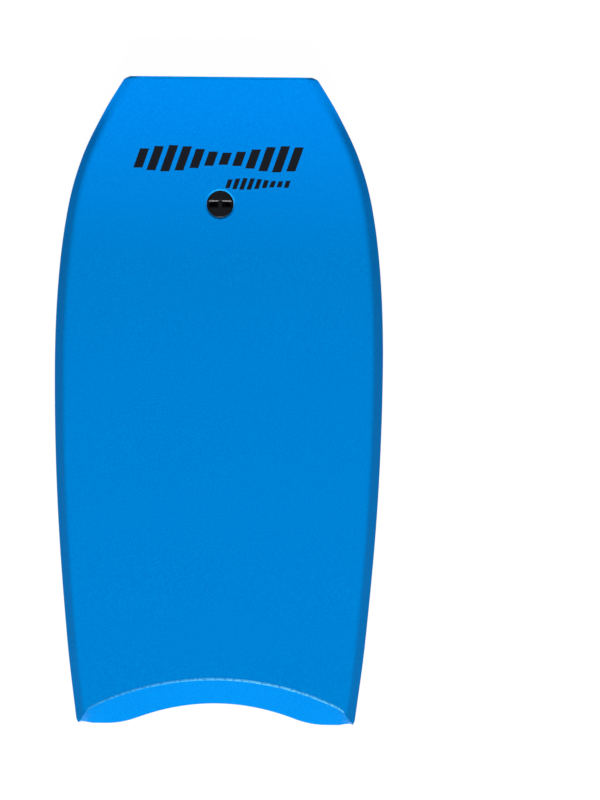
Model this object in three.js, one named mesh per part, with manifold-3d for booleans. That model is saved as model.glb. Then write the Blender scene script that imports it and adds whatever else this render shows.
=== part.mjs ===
// A 42 inch bodyboard: a foam core in foam skins, a hard slick bottom sheet and a two-part
// leash plug. It lies on its slick, deck up, nose towards +Y. Sizes are in millimetres.
// X runs across the board and Z is up. The origin is under the middle of the board's box, on
// the plane that the slick rests on.
import * as THREE from 'three';
import { mergeVertices } from 'three/addons/utils/BufferGeometryUtils.js';
import Module from 'manifold-3d';

const wasm = await Module();
wasm.setup();

const LENGTH = 1067;
const GAP = 0.3; // left between pieces that touch
const RAIL_EDGE_GAP = 0.4; // straight down, between the deck skin's edge and a rail skin
const SHEET_EDGE_GAP = 0.45; // straight across, between a rail skin and the slick's stack

// Lists along the board hold pairs: the distance from the nose, then the value there.
const HALF_WIDTH = [
  [0, 156.5], [60, 193.5], [130, 227.5], [210, 250.5], [330, 266],
  [480, 271], [700, 264.5], [930, 246], [LENGTH, 229],
];
const THICKNESS = [[0, 27], [130, 38], [300, 48], [520, 53], [800, 52], [LENGTH, 47]];
const LOWER_CHINE_RUN = [[0, 8], [200, 16], [600, 16.5], [LENGTH, 15]];
const NOSE_CORNER_RADIUS = 7;
const TAIL_CORNER_RADIUS = 10;
const KICK_LENGTH = 300; // the slick is flat behind this and curves up in front of it
const NOSE_RISE = 42;

// Rail: two chines meet at the widest line, and the upper one rolls over into the deck. It is steep
// and tall along the sides and dies out towards the nose.
const UPPER_CHINE_RUN = [[0, 14], [130, 14.5], [300, 16.5], [LENGTH, 16.5]];
const UPPER_CHINE_RISE = [
  [0, 3.5], [35, 4.5], [80, 12.5], [130, 16], [300, 25], [520, 31], [800, 31], [LENGTH, 28],
];
const DECK_ROLL = 7; // length of the roll on each side of the upper chine's corner with the deck

// Tail: a bevel between a shallow crescent in the slick and a deeper one in the deck.
const SLICK_CRESCENT = { depth: 34, archTo: 130, flatFrom: 182 }; // an arch that eases into flat tips
const DECK_CRESCENT = { depth: 75, radius: 476, cornerFrom: 200, cornerRun: 27, cornerDrop: 12 };

const SKIN = 4; // foam of the deck and rail skins
const SLICK_SHEET = 1.2;
const SLICK_STACK = 4.5; // slick sheet, gap and backing foam together
const NOSE_SKIN = 3.5;
const TAIL_SKIN_RUN = 4.6; // along the board; the skin is thinner square to the bevel

// Leash plug, in its own frame: Z along the plug, 0 at the flange's face, deck side up.
const PLUG_FROM_NOSE = 208;
const PLUG_TILT = THREE.MathUtils.degToRad(3.2); // half way between the deck's slope and the slick's
const PLUG_SINK = 0.6; // how far the flanges' faces lie under the skins
const HEAD = {
  radius: 22, flange: 4, cupRadius: 20, cupDepth: 6, footRadius: 11, footDepth: 14, stemRadius: 9,
  length: 37,
};
const SLOT = { length: 37, width: 8.2, mouth: 12.6, chamfer: 1.2, floor: 18, depth: 11.6, rampTop: 2.4 };
const BRIDGE = { width: 7.3, top: 0.5, thickness: 5 };
const NUT = {
  radius: 16, flange: 4.2, sleeveRadius: 13, boreRadius: 9.3, height: 20, rim: 2.4, dish: 0.7,
};
const SPANNER_PIT = { radius: 1.9, depth: 2.6, pitch: 7.8, turn: THREE.MathUtils.degToRad(63) };
const ROUND_SEGMENTS = 40;

// Where the surfaces are drawn: distances from the nose, and the tail bevel's grid.
const NOSE_STATIONS = [2, NOSE_CORNER_RADIUS, 35, 75, 125, 180, 240, KICK_LENGTH];
const TAIL_STATIONS = [TAIL_CORNER_RADIUS, 6, 3, 1, 0].map((inFromEnd) => LENGTH - inFromEnd);
const STATIONS = [...NOSE_STATIONS, 400, 520, 640, 760, 880, 980, ...TAIL_STATIONS];
const TAIL_COLUMNS = [30, 60, 90, 112, 130, 144, 160, 182, 200, 210, 219, 227, 260];
const TAIL_ROWS = [-10, 0, 16, 32, 60];
const ROLL_STEPS = 3;
const CHINE_STEPS = ROLL_STEPS + 1;
const OVERSHOOT = 30; // how far bodies and cutting tools reach past what is cut away

const foam = (color) => new THREE.MeshStandardMaterial({ color, roughness: 0.85, metalness: 0 });
const DECK_BLUE = foam(0x0083d7);
const RAIL_BLUE = foam(0x005493);
const BACKING_BLUE = foam(0x35b4e8);
const CORE_WHITE = foam(0xf2f4f6);
const SLICK_WHITE = new THREE.MeshStandardMaterial({ color: 0xe6ecf4, roughness: 0.35, metalness: 0 });
const PLUG_BLACK = new THREE.MeshStandardMaterial({ color: 0x17191d, roughness: 0.5, metalness: 0 });

// A smooth curve through a list of pairs, read at one distance.
function along(pairs, distance) {
  const last = pairs.length - 1;
  const slope = (a, b) => (pairs[b][1] - pairs[a][1]) / (pairs[b][0] - pairs[a][0]);
  const tangent = (i) => slope(Math.max(i - 1, 0), Math.min(i + 1, last));
  const next = pairs.findIndex(([at]) => at >= distance);
  const i = THREE.MathUtils.clamp(next < 0 ? last : next, 1, last) - 1;
  const span = pairs[i + 1][0] - pairs[i][0];
  const t = THREE.MathUtils.clamp((distance - pairs[i][0]) / span, 0, 1);
  const ease = t * t * (3 - 2 * t);
  const leave = t * (1 - t) * (1 - t) * span * tangent(i);
  const arrive = t * t * (t - 1) * span * tangent(i + 1);
  return pairs[i][1] * (1 - ease) + pairs[i + 1][1] * ease + leave + arrive;
}

// What a rounded corner takes off the half width, at a distance in from the board's end.
function cornerLoss(radius, inFromEnd) {
  const left = THREE.MathUtils.clamp(1 - inFromEnd / radius, 0, 1);
  return radius * (1 - Math.sqrt(1 - left * left));
}

function halfWidth(distance) {
  const noseLoss = cornerLoss(NOSE_CORNER_RADIUS, distance);
  return along(HALF_WIDTH, distance) - noseLoss - cornerLoss(TAIL_CORNER_RADIUS, LENGTH - distance);
}

function slickHeight(distance) {
  const ahead = Math.max(1 - distance / KICK_LENGTH, 0);
  return NOSE_RISE * ahead * ahead;
}

function slickCrescent(x) {
  const { depth, archTo, flatFrom } = SLICK_CRESCENT;
  const radius = (archTo * flatFrom) / (2 * depth); // lets the arch and the easing meet smoothly
  const easing = (archTo / radius) * (Math.max(flatFrom - x, 0) ** 2 / (2 * (flatFrom - archTo)));
  return x < archTo ? depth - (x * x) / (2 * radius) : easing;
}

function deckCrescent(x) {
  const { depth, radius, cornerFrom, cornerRun, cornerDrop } = DECK_CRESCENT;
  const arc = Math.sqrt(radius * radius - x * x) - (radius - depth);
  const corner = Math.max((x - cornerFrom) / cornerRun, 0);
  return Math.max(arc - cornerDrop * corner * corner, 0);
}

// How far a point of the tail lies in front of the tail's tips: x across, share of the height.
function tailAdvance(x, share) {
  return THREE.MathUtils.lerp(slickCrescent(Math.abs(x)), deckCrescent(Math.abs(x)), share);
}

// One side's rail as [inwards, up] offsets from the widest line, to the slick's edge or the deck's flat.
function lowerChine(run, drop) {
  const shares = Array.from({ length: CHINE_STEPS + 1 }, (_, i) => i / CHINE_STEPS);
  return shares.map((share) => [run * share, -drop * share]);
}

function upperChine(run, rise) {
  const chine = new THREE.Vector2(run, rise);
  const start = chine.clone().sub(chine.clone().setLength(DECK_ROLL));
  const end = new THREE.Vector2(run + DECK_ROLL, rise);
  const roll = new THREE.QuadraticBezierCurve(start, chine, end).getPoints(ROLL_STEPS);
  return [[0, 0], ...roll.map((p) => [p.x, p.y])];
}

// A row of the cross-section from the left widest line to the right one, at heights above the slick.
function sectionRow(wide, widestHeight, rail) {
  const right = rail.map(([run, rise]) => new THREE.Vector2(wide - run, widestHeight + rise)).reverse();
  const left = right.map((p) => new THREE.Vector2(-p.x, p.y)).reverse();
  return [...left, ...right];
}

// How far in the skins' inner face lies from a corner of the cross-section, for skins of two
// thicknesses that meet there.
function insetAt(before, here, after, thickBefore, thickAfter) {
  const inward = (a, b) => new THREE.Vector2(a.y - b.y, b.x - a.x).normalize();
  const n1 = inward(before, here);
  const n2 = inward(here, after);
  const turn = n1.dot(n2);
  const scale = 1 - turn * turn;
  if (scale < 1e-6) return n1.multiplyScalar(thickBefore);
  const first = n1.multiplyScalar((thickBefore - thickAfter * turn) / scale);
  return first.add(n2.multiplyScalar((thickAfter - thickBefore * turn) / scale));
}

// The cross-section at a distance from the nose: both rows, each point with its inset.
function section(distance) {
  const wide = halfWidth(distance);
  const rise = along(UPPER_CHINE_RISE, distance);
  const widest = along(THICKNESS, distance) - rise;
  const slick = sectionRow(wide, widest, lowerChine(along(LOWER_CHINE_RUN, distance), widest));
  const deck = sectionRow(wide, widest, upperChine(along(UPPER_CHINE_RUN, distance), rise));
  const loop = [...slick, ...deck.slice(1, -1).reverse()];
  const count = loop.length;
  const isSlick = (i) => i >= CHINE_STEPS && i < slick.length - 1 - CHINE_STEPS;
  const thickness = (i) => (isSlick(i) ? SLICK_STACK : SKIN);
  const points = loop.map((here, i) => {
    const before = (i + count - 1) % count;
    const inset = insetAt(loop[before], here, loop[(i + 1) % count], thickness(before), thickness(i));
    return { here, inset };
  });
  const slickRow = points.slice(0, slick.length);
  const deckRow = [points[0], ...points.slice(slick.length).reverse(), points[slick.length - 1]];
  return { slick: slickRow, deck: deckRow };
}

const LAST_COLUMN = section(0).slick.length - 1;

// A grid of the board's surface: one row per station, for columns first to last. depth 0 is the
// outside and 1 is the skins' inner face. trim pulls the two side edges in, to leave a gap.
function surfaceGrid({ side, depth, first = 0, last = LAST_COLUMN, from, to, trim = 0 }) {
  const stations = [from, ...STATIONS.filter((station) => station > from && station < to), to];
  return stations.map((distance) => {
    const height = slickHeight(distance);
    const row = section(distance)[side].slice(first, last + 1);
    return row.map(({ here, inset }, i) => {
      const point = here.clone().addScaledVector(inset, depth);
      const inwards = i === 0 || i === row.length - 1 ? trim * Math.sign(point.x) : 0;
      return new THREE.Vector3(point.x - inwards, LENGTH / 2 - distance, height + point.y);
    });
  });
}

// A closed body between two grids of the same size.
function slab(outer, inner) {
  const rows = outer.length;
  const columns = outer[0].length;
  const positions = [...outer.flat(), ...inner.flat()].flatMap((p) => [p.x, p.y, p.z]);
  const index = [];
  const at = (layer, row, column) => (layer * rows + row) * columns + column;
  const quad = (a, b, c, d) => index.push(a, b, c, a, c, d);
  for (let row = 0; row < rows - 1; row += 1) {
    for (let column = 0; column < columns - 1; column += 1) {
      quad(at(0, row, column), at(0, row, column + 1), at(0, row + 1, column + 1), at(0, row + 1, column));
      quad(at(1, row, column), at(1, row + 1, column), at(1, row + 1, column + 1), at(1, row, column + 1));
    }
    quad(at(0, row, 0), at(0, row + 1, 0), at(1, row + 1, 0), at(1, row, 0));
    const end = columns - 1;
    quad(at(0, row + 1, end), at(0, row, end), at(1, row, end), at(1, row + 1, end));
  }
  for (let column = 0; column < columns - 1; column += 1) {
    const end = rows - 1;
    quad(at(0, 0, column + 1), at(0, 0, column), at(1, 0, column), at(1, 0, column + 1));
    quad(at(0, end, column), at(0, end, column + 1), at(1, end, column + 1), at(1, end, column));
  }
  const geometry = new THREE.BufferGeometry();
  geometry.setAttribute('position', new THREE.Float32BufferAttribute(positions, 3));
  geometry.setIndex(index);
  return facingOut(dropThinTriangles(mergeVertices(geometry, 1e-3)));
}

// Removes the triangles that merging has collapsed.
function dropThinTriangles(geometry) {
  const old = geometry.index.array;
  const index = [];
  for (let i = 0; i < old.length; i += 3) {
    const [a, b, c] = old.slice(i, i + 3);
    if (a !== b && b !== c && c !== a) index.push(a, b, c);
  }
  geometry.setIndex(index);
  return geometry;
}

function facingOut(geometry) {
  const { array } = geometry.index;
  const corner = (i) => new THREE.Vector3().fromBufferAttribute(geometry.attributes.position, array[i]);
  let volume = 0;
  for (let i = 0; i < array.length; i += 3) volume += corner(i).dot(corner(i + 1).cross(corner(i + 2)));
  if (volume < 0) array.reverse();
  return geometry;
}

function toSolid(geometry) {
  const bare = geometry.clone();
  bare.deleteAttribute('normal');
  bare.deleteAttribute('uv');
  const merged = mergeVertices(bare, 1e-4);
  return new wasm.Manifold(
    new wasm.Mesh({
      numProp: 3,
      vertProperties: new Float32Array(merged.attributes.position.array),
      triVerts: new Uint32Array(merged.index.array),
    }),
  );
}

function toGeometry(solid) {
  const mesh = solid.getMesh();
  const geometry = new THREE.BufferGeometry();
  geometry.setAttribute('position', new THREE.BufferAttribute(mesh.vertProperties, 3));
  geometry.setIndex(new THREE.BufferAttribute(mesh.triVerts, 1));
  return geometry;
}

const cut = (geometry, ...tools) =>
  toGeometry(tools.reduce((solid, tool) => solid.subtract(toSolid(tool)), toSolid(geometry)));

// A solid of revolution about Z, from its profile's [radius, height] points.
function turned(profile) {
  const points = profile.map(([radius, height]) => new THREE.Vector2(radius, height));
  return facingOut(new THREE.LatheGeometry(points, ROUND_SEGMENTS).rotateX(Math.PI / 2));
}

// An outline of [first, second] points pushed to both sides of its plane.
function pushed(outline, depth) {
  const shape = new THREE.Shape(outline.map(([x, y]) => new THREE.Vector2(x, y)));
  return new THREE.ExtrudeGeometry(shape, { depth, bevelEnabled: false }).translate(0, 0, -depth / 2);
}

function mesh(name, geometry, material) {
  const made = new THREE.Mesh(geometry, material);
  made.name = name;
  return made;
}

// The plug's frame sits on the deck's centre line, tilted with the nose's kick.
const deckAtPlug = slickHeight(PLUG_FROM_NOSE) + along(THICKNESS, PLUG_FROM_NOSE);
const NUT_FACE = -(along(THICKNESS, PLUG_FROM_NOSE) - 2 * PLUG_SINK);

function placeAtPlug(object) {
  object.position.set(0, LENGTH / 2 - PLUG_FROM_NOSE, deckAtPlug - PLUG_SINK);
  object.rotation.x = PLUG_TILT;
  object.updateMatrix();
  return object;
}

// The stepped hole through the board that both halves of the plug sit in.
function plugHole() {
  const flangeTop = NUT_FACE + NUT.flange + GAP;
  const sleeveTop = NUT_FACE + NUT.height + GAP;
  const hole = turned([
    [0, OVERSHOOT],
    [HEAD.radius + GAP, OVERSHOOT],
    [HEAD.radius + GAP, -HEAD.flange - GAP],
    [HEAD.cupRadius + GAP, -HEAD.flange - GAP],
    [HEAD.cupRadius + GAP, -HEAD.cupDepth - GAP],
    [HEAD.footRadius + GAP, -HEAD.footDepth - GAP],
    [HEAD.stemRadius + GAP, -HEAD.footDepth - GAP],
    [HEAD.stemRadius + GAP, sleeveTop],
    [NUT.sleeveRadius + GAP, sleeveTop],
    [NUT.sleeveRadius + GAP, flangeTop],
    [NUT.radius + GAP, flangeTop],
    [NUT.radius + GAP, NUT_FACE - OVERSHOOT],
    [0, NUT_FACE - OVERSHOOT],
  ]);
  return hole.applyMatrix4(placeAtPlug(new THREE.Object3D()).matrix);
}

function plugHead() {
  const body = turned([
    [0, 0],
    [HEAD.radius - 1.4, 0],
    [HEAD.radius - 0.4, -0.4],
    [HEAD.radius, -1.4],
    [HEAD.radius, -HEAD.flange],
    [HEAD.cupRadius, -HEAD.flange],
    [HEAD.cupRadius, -HEAD.cupDepth],
    [HEAD.footRadius, -HEAD.footDepth],
    [HEAD.stemRadius, -HEAD.footDepth],
    [HEAD.stemRadius, -HEAD.length],
    [0, -HEAD.length],
  ]);
  const over = 1; // past the flange's face
  const half = SLOT.length / 2;
  const pocket = pushed(
    [
      [-half, over],
      [-half, -SLOT.rampTop],
      [-SLOT.floor / 2, -SLOT.depth],
      [SLOT.floor / 2, -SLOT.depth],
      [half, -SLOT.rampTop],
      [half, over],
    ],
    SLOT.width,
  ).rotateX(Math.PI / 2);
  const flare = (SLOT.mouth - SLOT.width) / 2;
  const mouth = pushed(
    [
      [-SLOT.width / 2, -SLOT.chamfer],
      [SLOT.width / 2, -SLOT.chamfer],
      [SLOT.mouth / 2, 0],
      [SLOT.mouth / 2 + flare, over],
      [-SLOT.mouth / 2 - flare, over],
      [-SLOT.mouth / 2, 0],
    ],
    SLOT.length,
  ).rotateX(Math.PI / 2).rotateZ(Math.PI / 2);
  const bridge = new THREE.BoxGeometry(BRIDGE.width, SLOT.mouth + 2 * flare, BRIDGE.thickness);
  bridge.translate(0, 0, -BRIDGE.top - BRIDGE.thickness / 2);
  const slotted = toSolid(cut(body, pocket, mouth));
  return toGeometry(slotted.add(toSolid(bridge)));
}

function plugNut() {
  const body = turned([
    [0, NUT_FACE + NUT.dish],
    [NUT.radius - NUT.rim, NUT_FACE + NUT.dish],
    [NUT.radius - NUT.rim + 0.8, NUT_FACE],
    [NUT.radius - 0.6, NUT_FACE],
    [NUT.radius, NUT_FACE + 0.6],
    [NUT.radius, NUT_FACE + NUT.flange],
    [NUT.sleeveRadius, NUT_FACE + NUT.flange],
    [NUT.sleeveRadius, NUT_FACE + NUT.height],
    [NUT.boreRadius, NUT_FACE + NUT.height],
    [NUT.boreRadius, NUT_FACE + NUT.flange],
    [0, NUT_FACE + NUT.flange],
  ]);
  const { radius, depth, pitch, turn } = SPANNER_PIT;
  const pits = [turn, turn + Math.PI].map((angle) => {
    const pit = new THREE.CylinderGeometry(radius, radius, depth * 2, 16);
    pit.rotateX(Math.PI / 2);
    return pit.translate(pitch * Math.cos(angle), pitch * Math.sin(angle), NUT_FACE + NUT.dish);
  });
  return cut(body, ...pits);
}

// Everything behind the tail's bevel once that is moved forward by run.
function behindBevel(run) {
  const tailThickness = along(THICKNESS, LENGTH);
  const columns = [...TAIL_COLUMNS.map((x) => -x).reverse(), 0, ...TAIL_COLUMNS];
  const bevelY = (x, z) => tailAdvance(x, z / tailThickness) + run - LENGTH / 2;
  const bevel = TAIL_ROWS.map((z) => columns.map((x) => new THREE.Vector3(x, bevelY(x, z), z)));
  const far = -LENGTH / 2 - 2 * OVERSHOOT;
  const back = TAIL_ROWS.map((z) => columns.map((x) => new THREE.Vector3(x, far, z)));
  return slab(bevel, back);
}

const HOLE = plugHole();
const BEHIND_SKINS = behindBevel(TAIL_SKIN_RUN + GAP);
const SKINS_FROM = NOSE_SKIN + GAP;
const PAST_TAIL = LENGTH + OVERSHOOT;
const SLICK_EDGE = CHINE_STEPS;
const FAR_SLICK_EDGE = LAST_COLUMN - CHINE_STEPS;

const skinGrid = (grid) => surfaceGrid({ from: SKINS_FROM, to: PAST_TAIL, ...grid });

function foamCore() {
  const depth = 1 + GAP / SKIN;
  const body = slab(skinGrid({ side: 'deck', depth }), skinGrid({ side: 'slick', depth }));
  return cut(body, HOLE, BEHIND_SKINS);
}

function deckSkin() {
  const body = slab(skinGrid({ side: 'deck', depth: 0 }), skinGrid({ side: 'deck', depth: 1 }));
  return cut(body, HOLE, BEHIND_SKINS);
}

// A sheet of the slick's stack, kept clear of the rail skins on both sides.
function bottomSheet(outerDepth, innerDepth) {
  const layer = (depth) =>
    skinGrid({ side: 'slick', depth, first: SLICK_EDGE, last: FAR_SLICK_EDGE, trim: SHEET_EDGE_GAP });
  return cut(slab(layer(outerDepth), layer(innerDepth)), HOLE, BEHIND_SKINS);
}

// A strip on one lower chine, from just under the deck skin's edge to the slick's edge.
function railSkin(first, last) {
  const layer = (depth) => {
    const grid = skinGrid({ side: 'slick', depth, first, last });
    grid.forEach((row) => {
      const top = first === 0 ? row[0] : row[row.length - 1];
      top.z -= RAIL_EDGE_GAP;
    });
    return grid;
  };
  return cut(slab(layer(0), layer(1)), BEHIND_SKINS);
}

function noseSkin() {
  const face = (side) => surfaceGrid({ side, depth: 0, from: 0, to: NOSE_SKIN });
  return slab(face('deck'), face('slick'));
}

function tailSkin() {
  const from = LENGTH - DECK_CRESCENT.depth - OVERSHOOT;
  const face = (side) => surfaceGrid({ side, depth: 0, from, to: PAST_TAIL });
  const tail = toSolid(slab(face('deck'), face('slick')));
  const shell = tail.intersect(toSolid(behindBevel(TAIL_SKIN_RUN)));
  return toGeometry(shell.subtract(toSolid(behindBevel(0))));
}

const BACKING_DEPTH = (SLICK_SHEET + GAP) / SLICK_STACK;
const SLICK_DEPTH = SLICK_SHEET / SLICK_STACK;

const board = new THREE.Group();
board.add(
  mesh('foam_core', foamCore(), CORE_WHITE),
  mesh('deck_skin', deckSkin(), DECK_BLUE),
  mesh('left_rail_skin', railSkin(0, SLICK_EDGE), RAIL_BLUE),
  mesh('right_rail_skin', railSkin(FAR_SLICK_EDGE, LAST_COLUMN), RAIL_BLUE),
  mesh('nose_skin', noseSkin(), DECK_BLUE),
  mesh('tail_skin', tailSkin(), DECK_BLUE),
  mesh('slick_backing', bottomSheet(BACKING_DEPTH, 1), BACKING_BLUE),
  mesh('slick_skin', bottomSheet(0, SLICK_DEPTH), SLICK_WHITE),
);

const plug = placeAtPlug(new THREE.Group());
plug.add(mesh('plug_head', plugHead(), PLUG_BLACK), mesh('plug_nut', plugNut(), PLUG_BLACK));
board.add(plug);

export default board;
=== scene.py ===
"""The looks of a 42 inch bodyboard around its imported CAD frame: foam sheets, slick, leash plug, studio.

Everything is in metres in the CAD's frame: the board lies on its slick with its nose towards +Y.
The board's shape is worked out by the same formulas as the CAD, on finer patterns. A sheet is a flat
pattern of points (u across the board, station along it) that is laid on two faces of the board and
closed round its edges. Stations count from the nose.
"""

import math

import bmesh
import bpy
import numpy as np
from mathutils import Euler, Matrix, Vector


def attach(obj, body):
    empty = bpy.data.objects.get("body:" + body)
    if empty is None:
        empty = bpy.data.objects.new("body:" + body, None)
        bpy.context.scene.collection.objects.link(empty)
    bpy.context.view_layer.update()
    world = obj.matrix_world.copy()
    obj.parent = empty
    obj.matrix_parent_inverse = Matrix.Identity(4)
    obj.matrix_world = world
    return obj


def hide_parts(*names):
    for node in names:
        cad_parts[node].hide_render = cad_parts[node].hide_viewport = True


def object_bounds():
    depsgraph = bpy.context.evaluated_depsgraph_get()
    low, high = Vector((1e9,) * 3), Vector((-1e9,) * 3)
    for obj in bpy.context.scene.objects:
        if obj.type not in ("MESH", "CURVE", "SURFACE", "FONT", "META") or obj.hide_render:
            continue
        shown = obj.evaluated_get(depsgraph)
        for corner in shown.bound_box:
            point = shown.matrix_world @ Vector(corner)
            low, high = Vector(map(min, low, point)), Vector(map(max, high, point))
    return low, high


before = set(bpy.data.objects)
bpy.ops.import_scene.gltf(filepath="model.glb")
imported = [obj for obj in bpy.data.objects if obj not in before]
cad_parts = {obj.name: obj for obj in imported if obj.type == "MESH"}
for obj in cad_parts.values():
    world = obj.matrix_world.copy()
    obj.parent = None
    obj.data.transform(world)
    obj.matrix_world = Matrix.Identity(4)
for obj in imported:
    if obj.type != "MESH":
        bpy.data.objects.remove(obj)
cad_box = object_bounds()

# The board's shape, as in the CAD. Lists hold pairs: distance from the nose, value there.
LENGTH = 1.067
HALF_WIDTH = (
    (0, 0.1565), (0.060, 0.1935), (0.130, 0.2275), (0.210, 0.2505), (0.330, 0.266),
    (0.480, 0.271), (0.700, 0.2645), (0.930, 0.246), (LENGTH, 0.229),
)
THICKNESS = ((0, 0.027), (0.130, 0.038), (0.300, 0.048), (0.520, 0.053), (0.800, 0.052), (LENGTH, 0.047))
LOWER_CHINE_RUN = ((0, 0.008), (0.200, 0.016), (0.600, 0.0165), (LENGTH, 0.015))
NOSE_CORNER_RADIUS = 0.007
TAIL_CORNER_RADIUS = 0.010
KICK_LENGTH = 0.300
NOSE_RISE = 0.042
UPPER_CHINE_RUN = ((0, 0.014), (0.130, 0.0145), (0.300, 0.0165), (LENGTH, 0.0165))
UPPER_CHINE_RISE = (
    (0, 0.0035), (0.035, 0.0045), (0.080, 0.0125), (0.130, 0.016), (0.300, 0.025), (0.520, 0.031),
    (0.800, 0.031), (LENGTH, 0.028),
)
DECK_ROLL = 0.007
# The tail's two crescents in plan: an arch that eases into flat tips, and an arc that drops at its ends.
SLICK_ARCH = {"depth": 0.034, "to": 0.130, "flat_from": 0.182}
DECK_ARC = {
    "depth": 0.075, "radius": 0.476, "corner_from": 0.200, "corner_run": 0.027, "corner_drop": 0.012,
}

# Its layers.
GAP = 0.0003
SKIN = 0.004
SLICK_SHEET = 0.0012
SLICK_STACK = 0.0045
NOSE_SKIN = 0.0035
TAIL_SKIN_RUN = 0.0046
SEAM = 0.0001  # between sheets of foam that are welded edge to edge
BACKING_BULGE = 0.0009  # how far the backing's cut edge swells down round the slick
BACKING_TRIM = 0.0003
SLICK_TRIM = 0.0027  # the slick is cut back this far, give or take its waves, so that the backing shows
SLICK_WAVES = ((0.0005, 310, 0), (0.0004, 817, 2))  # their size, radians per metre and start
SLICK_HOLE_GAP = 0.0011
SLICK_HOLE_SHIFT = -0.0008
RAIL_TOP_GAP = 0.0004

# Rounded edges.
FOAM_EDGE = 0.0006
TAIL_EDGE = 0.0018
NOSE_EDGE = 0.0012
SLICK_EDGE = 0.0003
PLASTIC_EDGE = 0.00015
BACK_EDGE = 0.0002  # on the faces that lie on the core
CUT_EDGE = 0.0001

# The leash plug. Its own frame has Z along it and 0 at the deck flange's face.
PLUG_FROM_NOSE = 0.208
PLUG_TILT = math.radians(3.2)
PLUG_SINK = 0.0006  # how far the flanges' faces lie under the skins
HEAD_RADIUS = 0.022
HEAD_FLANGE = 0.004
# A groove and a rounded edge: in from the flange's edge and down from its face.
HEAD_RIM = (
    (0.0032, 0), (0.0028, 0.0004), (0.0022, 0.0004), (0.0019, 0.0001), (0.0014, 0), (0.0008, 0.0002),
    (0.0003, 0.0007), (0, 0.0015),
)
CUP_RADIUS = 0.020
CUP_DEPTH = 0.006
FOOT_RADIUS = 0.011
FOOT_DEPTH = 0.014
STEM_RADIUS = 0.009
STEM_END = 0.037
STEM_CHAMFER = 0.0004
NUT_RADIUS = 0.016
NUT_FLANGE = 0.0042
NUT_DISH = 0.0007
# A round rim about the dished face: in from the nut's edge and up from its lowest line.
NUT_RIM = (
    (0.0030, NUT_DISH), (0.0026, 0.0005), (0.0021, 0.0001), (0.0014, 0), (0.0007, 0.0001),
    (0.0002, 0.0005), (0, 0.0012),
)
SLEEVE_RADIUS = 0.013
SLEEVE_BORE = 0.0093
SLEEVE_HEIGHT = 0.020
SLOT_LENGTH = 0.037
SLOT_MOUTH = 0.0126
SLOT_WIDTH = 0.0082
SLOT_CHAMFER = 0.0012
SLOT_FLOOR = 0.018
SLOT_DEPTH = 0.0116
SLOT_RAMP_TOP = 0.0024
BRIDGE_WIDTH = 0.0073
BRIDGE_TOP = 0.0001
BRIDGE_THICKNESS = 0.005
BRIDGE_CHAMFER = 0.001
BRIDGE_TAPER = 0.0008
BRIDGE_ROOTS = 0.002  # how much longer the bridge is than the slot is wide
SPANNER_PIT_RADIUS = 0.0019
SPANNER_PIT_DEPTH = 0.0026
SPANNER_PIT_PITCH = 0.0078
SPANNER_PIT_TURN = math.radians(63)
PIT_SHOULDER = 0.8
PIT_FLARE = 0.0006
PIT_FLARE_FROM = 0.0004  # this far inside its mouth a pit begins to flare
OVER = 0.001  # how far cutting tools reach past the face that they cut
DIMPLE_RUN = 0.0030  # the foam is drawn down round the flange over this width
DIMPLE_DEPTH = 0.0016

# Patterns. The square block round the plug has cells of its own size, so that a round hole fits in it.
BLOCK_HALF = 0.040
BLOCK_U = 0.24
BLOCK_CELLS = 16
BLOCK_ROUND_FROM = 0.034  # inside this radius the rows round the hole are circles
RING_SHARE = 0.55  # how round the one row between these circles and the square is
HOLE_RINGS = (0.0, 0.0004, 0.0009, 0.0015, 0.0021, 0.0027, 0.0035, 0.005, 0.008, 0.012)  # out from a hole
TRIM_COLUMN = 0.965  # the flat's last column but one, which lies further in than the slick's trim
END_STRIP = 0.001
TAIL_REACH = 0.800  # behind this the stations' rows bend towards the tail's crescent
TAIL_THICKNESS = THICKNESS[-1][1]
SHEET_ROUNDS = 6  # how often a sheet's rows are moved until they lie on the tail's bevel
PLATE_ROUNDS = 7
NEAR = 0.001  # how close values of u count as the same line
TINY = 1e-6

# Camera and studio.
CAMERA_HEIGHT = 7.0  # above the board's middle
VIEW_HEIGHT = 1.3188  # what the picture's height takes in at the board
CAMERA_SHIFT = Vector((0.1345, 0.0032))  # of the picture's middle from the board's
CAMERA_ROLL = math.radians(0.55)
SENSOR = 36.0
CLIP_END = 80.0
KEY_ELEVATION = math.radians(37.5)
KEY_STRENGTH = 4.3
KEY_ANGLE = math.radians(22)
BOUNCE_ELEVATION = math.radians(-75)
BOUNCE_STRENGTH = 2.1
BOUNCE_ANGLE = math.radians(40)
AIR_BELOW = 0.32  # brightness of the studio air under the horizon
AIR_ABOVE = 0.16
AIR_BLEND = 0.15  # it changes between this far below and above the horizon
STUDIO_RADIUS = 29.0
DOME_GAP = 0.5
FLOOR_DROP = 0.0004
FLOOR_GLOW = 0.98
FLOOR_MATTE = 0.05

# Looks. Colours are linear.
DECK_BLUE = (0.0, 0.223, 0.665)
NOSE_LIT_BLUE = (0.0, 0.228, 0.765)  # the deck's towards the nose, lighter: painted light where the kick faces the key
LIT_DIMPLE_BLUE = (0.02, 0.38, 0.90)  # painted light: paler foam on the nose side of the plug's dimple, where its slope faces the key
RAIL_BLUE = (0.0, 0.088, 0.29)
TAIL_BLUE = (0.0, 0.206, 0.625)
RIM_HIGHLIGHT_BLUE = (0.13, 0.55, 0.93)  # painted highlight along the tail's upper edge
BACKING_BLUES = ((0.05, 0.48, 0.86), (0.12, 0.62, 0.98))
SLICK_WHITES = ((0.72, 0.79, 0.88), (0.76, 0.82, 0.90))
STREAK_SHEEN_WHITE = (0.84, 0.9, 0.97)
PLUG_BLACKS = ((0.0040, 0.0045, 0.0060), (0.0065, 0.0070, 0.0090))
BEAD_AND_SEAM_SHADE_WHITES = ((0.9, 0.91, 0.92), (0.78, 0.8, 0.83))
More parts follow.
